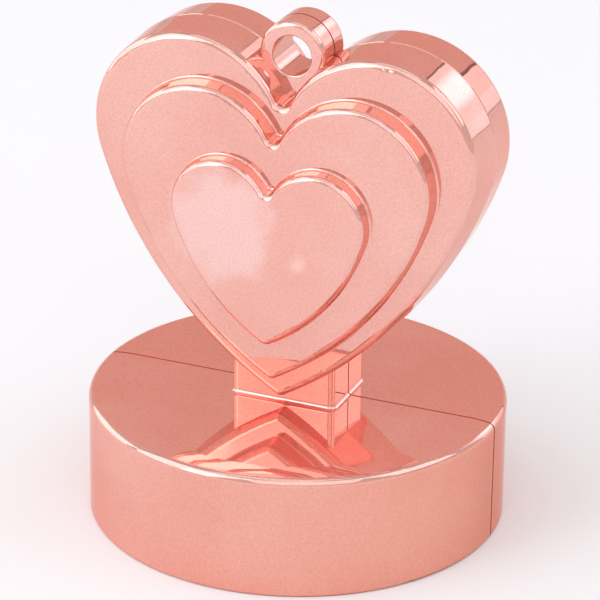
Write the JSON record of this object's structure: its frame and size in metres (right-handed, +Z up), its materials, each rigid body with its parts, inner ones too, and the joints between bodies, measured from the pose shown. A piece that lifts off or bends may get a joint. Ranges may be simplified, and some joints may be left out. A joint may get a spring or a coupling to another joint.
{
  "type": "balloon weight",
  "caption": "Table weight for party balloons: a stepped heart with a ribbon eye in its cleft, on a short stem and a round sand-filled drum, in metallised plastic.",
  "frame": {"origin": "middle of the drum's underside, on the surface that it stands on", "axes": "+Z up through the ribbon eye, -Y out of the front face of the heart, +X to the right of someone who looks at that face"},
  "size_m": [0.075, 0.075, 0.0931],
  "materials": {
    "metallised_plastic": "polished",
    "sand": "matte",
    "plug_plastic": "satin"
  },
  "bodies": {
    "root": {"front_shell": "metallised_plastic", "back_shell": "metallised_plastic", "ballast": "sand", "filler_plug": "plug_plastic"}
  },
  "joints": []
}
